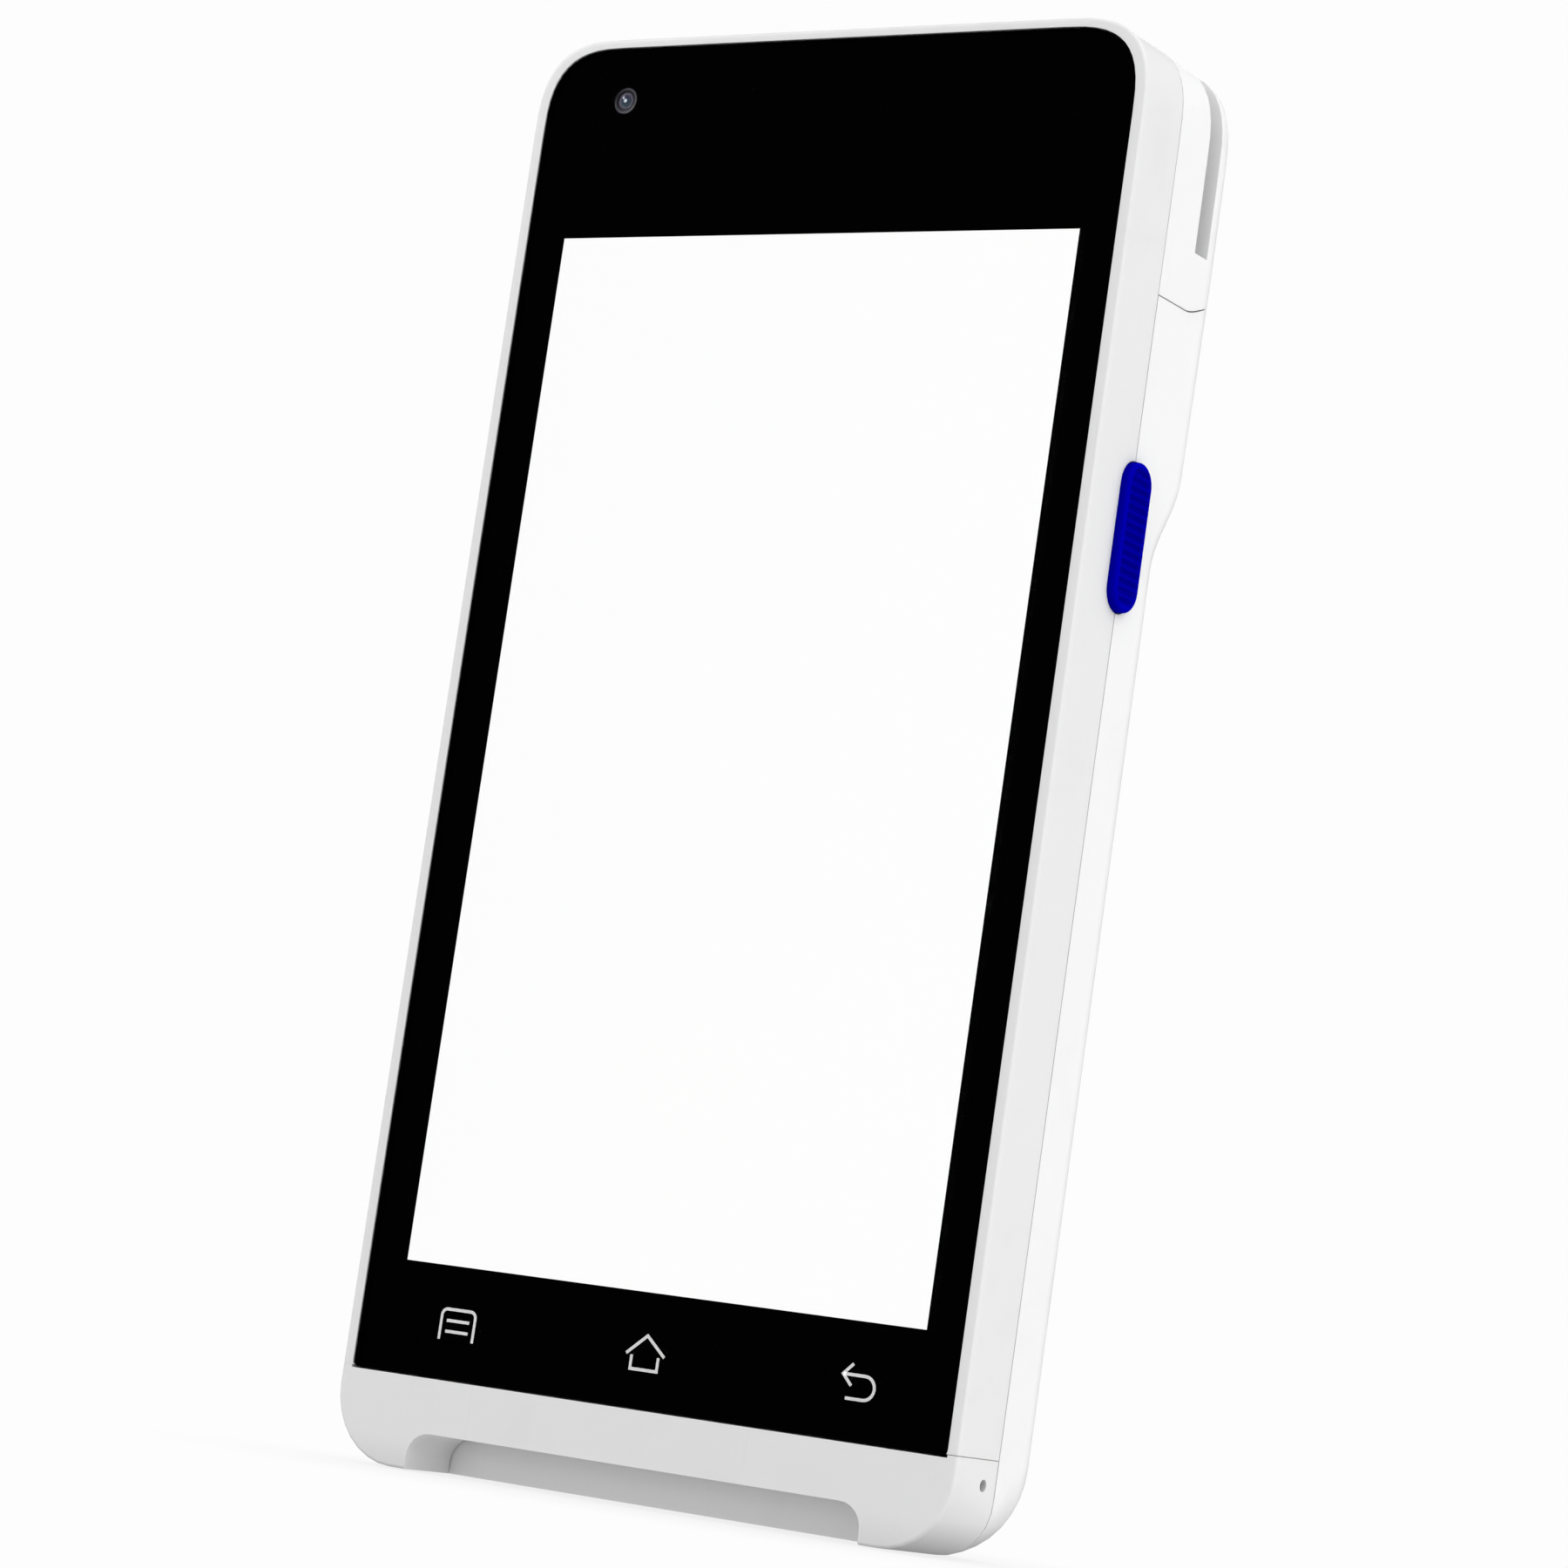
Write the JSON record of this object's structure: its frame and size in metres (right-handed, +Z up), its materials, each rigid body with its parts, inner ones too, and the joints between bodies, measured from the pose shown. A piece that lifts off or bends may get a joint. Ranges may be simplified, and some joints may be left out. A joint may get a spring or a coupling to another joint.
{
  "type": "card payment terminal",
  "caption": "Handheld touch-screen card payment terminal with a chip card notch in its foot, a swipe slot through the top of its back and a ribbed scan key on its side.",
  "frame": {"origin": "on the flat foot that the terminal stands on, half way across and half way through the casing's greatest depth", "axes": "+Z up along the length from the foot to the top, -Y out of the screen towards the user, +X to the right as the user sees it"},
  "size_m": [0.0826, 0.022, 0.1648],
  "materials": {
    "casing_white": "fine satin moulded plastic",
    "side_key_white": "fine satin moulded plastic",
    "scan_key_blue": "semi-gloss dark blue",
    "cover_glass": "polished, with a black printed border",
    "display": "lit plain white",
    "backlight": "satin",
    "antenna_copper": "bare copper track",
    "chassis_metal": "die-cast",
    "board_green": "solder mask",
    "sheet_steel": "tinned sheet",
    "dark_plastic": "moulded",
    "contact_gold": "gold plated",
    "battery_film": "shrink film",
    "head_metal": "polished crown",
    "weight_metal": "sintered",
    "lens_glass": "polished",
    "flash_lamp": "moulded",
    "speaker_mesh": "woven mesh",
    "screw_steel": "zinc plated"
  },
  "bodies": {
    "casing": {"backlight_unit": "backlight", "battery_contact_block": "contact_gold", "battery_pack": "battery_film", "board_screw_1": "screw_steel", "board_screw_2": "screw_steel", "board_screw_3": "screw_steel", "board_screw_4": "screw_steel", "chip_reader_body": "dark_plastic", "chip_reader_cover": "sheet_steel", "coin_cell": "sheet_steel", "contact_block": "contact_gold", "contactless_antenna": "antenna_copper", "cover_glass": "cover_glass", "display_panel": "display", "flash_lamp": "flash_lamp", "flash_window": "lens_glass", "front_camera": "dark_plastic", "front_camera_lens": "lens_glass", "front_frame": "casing_white", "head_spring": "sheet_steel", "housing_screw_1": "screw_steel", "housing_screw_2": "screw_steel", "housing_screw_3": "screw_steel", "housing_screw_4": "screw_steel", "lower_front_cap": "casing_white", "main_board": "board_green", "microphone": "sheet_steel", "midframe": "chassis_metal", "processor_shield": "sheet_steel", "radio_shield": "sheet_steel", "reader_housing": "casing_white", "reader_screw_1": "screw_steel", "reader_screw_2": "screw_steel", "rear_camera": "dark_plastic", "rear_camera_window": "lens_glass", "rear_cover": "casing_white", "scan_switch": "dark_plastic", "side_key_board": "dark_plastic", "sim_socket": "sheet_steel", "speaker": "dark_plastic", "speaker_mesh": "speaker_mesh", "usb_socket": "sheet_steel", "vibration_motor": "sheet_steel"},
    "scan_key": {"scan_key": "scan_key_blue"},
    "power_key": {"power_key": "side_key_white"},
    "volume_rocker": {"volume_rocker": "side_key_white"},
    "magnetic_head": {"magnetic_head": "head_metal"},
    "battery_door": {"battery_door": "casing_white"},
    "eccentric_weight": {"eccentric_weight": "weight_metal"}
  },
  "joints": [
    {"name": "scan_key_press", "type": "slide", "parent": "casing", "child": "scan_key", "axis": [-1, 0, 0], "range_m": [0, 0.0006], "stiffness_N_per_m": 1500},
    {"name": "power_key_press", "type": "slide", "parent": "casing", "child": "power_key", "axis": [1, 0, 0], "range_m": [0, 0.00035], "stiffness_N_per_m": 1500},
    {"name": "volume_rock", "type": "hinge", "parent": "casing", "child": "volume_rocker", "pos_m": [-0.0379, -0.00575, 0.104], "axis": [0, 1, 0], "range_deg": [-1.5, 1.5], "stiffness_Nm_per_rad": 0.5},
    {"name": "head_float", "type": "slide", "parent": "casing", "child": "magnetic_head", "axis": [0, -1, 0], "range_m": [0, 0.0005], "stiffness_N_per_m": 800},
    {"name": "battery_door_lift", "type": "slide", "parent": "casing", "child": "battery_door", "axis": [0, 1, 0], "range_m": [0, 0.03]},
    {"name": "vibration_spin", "type": "hinge", "parent": "casing", "child": "eccentric_weight", "pos_m": [0.0195, -0.00395, 0.0614], "axis": [1, 0, 0], "continuous": true}
  ]
}
